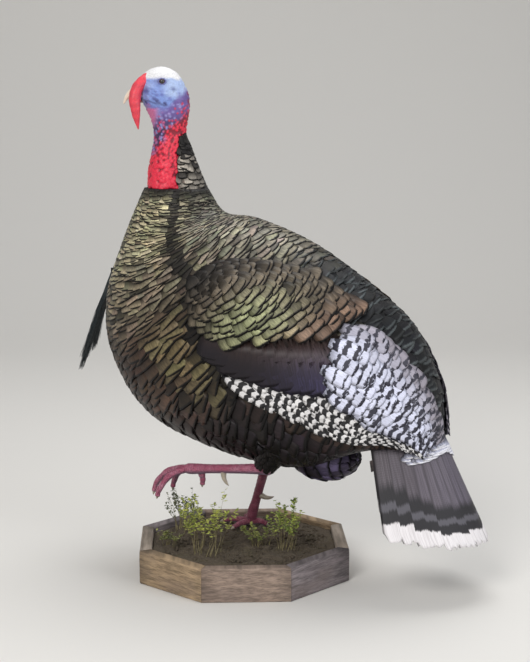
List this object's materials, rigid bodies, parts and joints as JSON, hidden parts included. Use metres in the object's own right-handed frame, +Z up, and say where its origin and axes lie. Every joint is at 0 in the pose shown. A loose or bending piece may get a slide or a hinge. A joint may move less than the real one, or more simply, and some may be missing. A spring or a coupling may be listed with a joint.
{
  "type": "turkey decoy",
  "caption": "Full-size standing tom turkey decoy with turning head, swinging beard and tilting tail fan, on an octagonal wooden base of soil and greenery.",
  "frame": {"origin": "centre of the base's underside", "axes": "+Z up, +X towards the tail side as seen from the bird's left, +Y away from that viewer; the bird faces -X turned 25 degrees towards +Y"},
  "size_m": [0.8048, 0.4737, 0.9861],
  "materials": {
    "board": "weathered, unvarnished",
    "soil": "soil set in resin",
    "steel": "zinc plated",
    "tail_wood": "plain",
    "foam": "rigid foam",
    "plumage": "bronze feathers",
    "neck": "olive feathers",
    "belly": "dark feathers",
    "coverts": "bronze feathers",
    "secondaries": "violet-bronze feathers",
    "primaries": "barred feathers",
    "tail": "banded feathers",
    "head": "painted cast skin",
    "snood": "painted cast skin",
    "beak": "horn",
    "eye": "polished",
    "beard": "coarse bristle",
    "leg": "scaly, satin",
    "claw": "horn",
    "leaf": "moulded"
  },
  "bodies": {
    "stand": {"base_board_1": "board", "base_board_2": "board", "base_board_3": "board", "base_board_4": "board", "base_board_5": "board", "base_board_6": "board", "base_board_7": "board", "base_board_8": "board", "base_floor": "board", "soil_fill": "soil", "leg_rod": "steel", "rod_washer": "steel", "rod_nut": "steel", "left_leg_wire": "steel", "neck_rod": "steel", "beard_bracket": "steel", "beard_pin": "steel", "tail_bracket": "steel", "tail_bolt": "steel", "tail_nut": "steel", "body_form": "foam", "body_plumage": "plumage", "neck_plumage": "neck", "left_thigh_plumage": "belly", "right_thigh_plumage": "belly", "vent_plumage": "belly", "left_wing_coverts": "coverts", "right_wing_coverts": "coverts", "left_wing_secondaries": "secondaries", "right_wing_secondaries": "secondaries", "left_wing_primaries": "primaries", "right_wing_primaries": "primaries", "left_leg": "leg", "right_leg": "leg", "left_spur": "claw", "right_spur": "claw", "sprig_1": "leaf", "sprig_2": "leaf", "sprig_3": "leaf", "sprig_4": "leaf", "sprig_5": "leaf"},
    "head": {"head_cast": "head", "upper_beak": "beak", "lower_beak": "beak", "snood": "snood", "left_eye": "eye", "right_eye": "eye", "nape_feathers": "neck"},
    "beard": {"beard": "beard", "beard_knuckle": "steel"},
    "tail": {"tail_block": "tail_wood", "tail_feather_1": "tail", "tail_feather_2": "tail", "tail_feather_3": "tail", "tail_feather_4": "tail", "tail_feather_5": "tail", "tail_feather_6": "tail", "tail_feather_7": "tail", "tail_feather_8": "tail", "tail_feather_9": "tail"}
  },
  "joints": [
    {"name": "head_turn", "type": "hinge", "parent": "stand", "child": "head", "pos_m": [-0.14048, 0.09551, 0.751], "axis": [0, 0, 1], "range_deg": [-40, 40]},
    {"name": "beard_swing", "type": "hinge", "parent": "stand", "child": "beard", "pos_m": [-0.24885, 0.14604, 0.58267], "axis": [0.4226, 0.9063, 0], "range_deg": [0, 25], "stiffness_Nm_per_rad": 0.05},
    {"name": "tail_tilt", "type": "hinge", "parent": "stand", "child": "tail", "pos_m": [0.34712, -0.13186, 0.309], "axis": [-0.4226, -0.9063, 0], "range_deg": [-6, 14]}
  ]
}
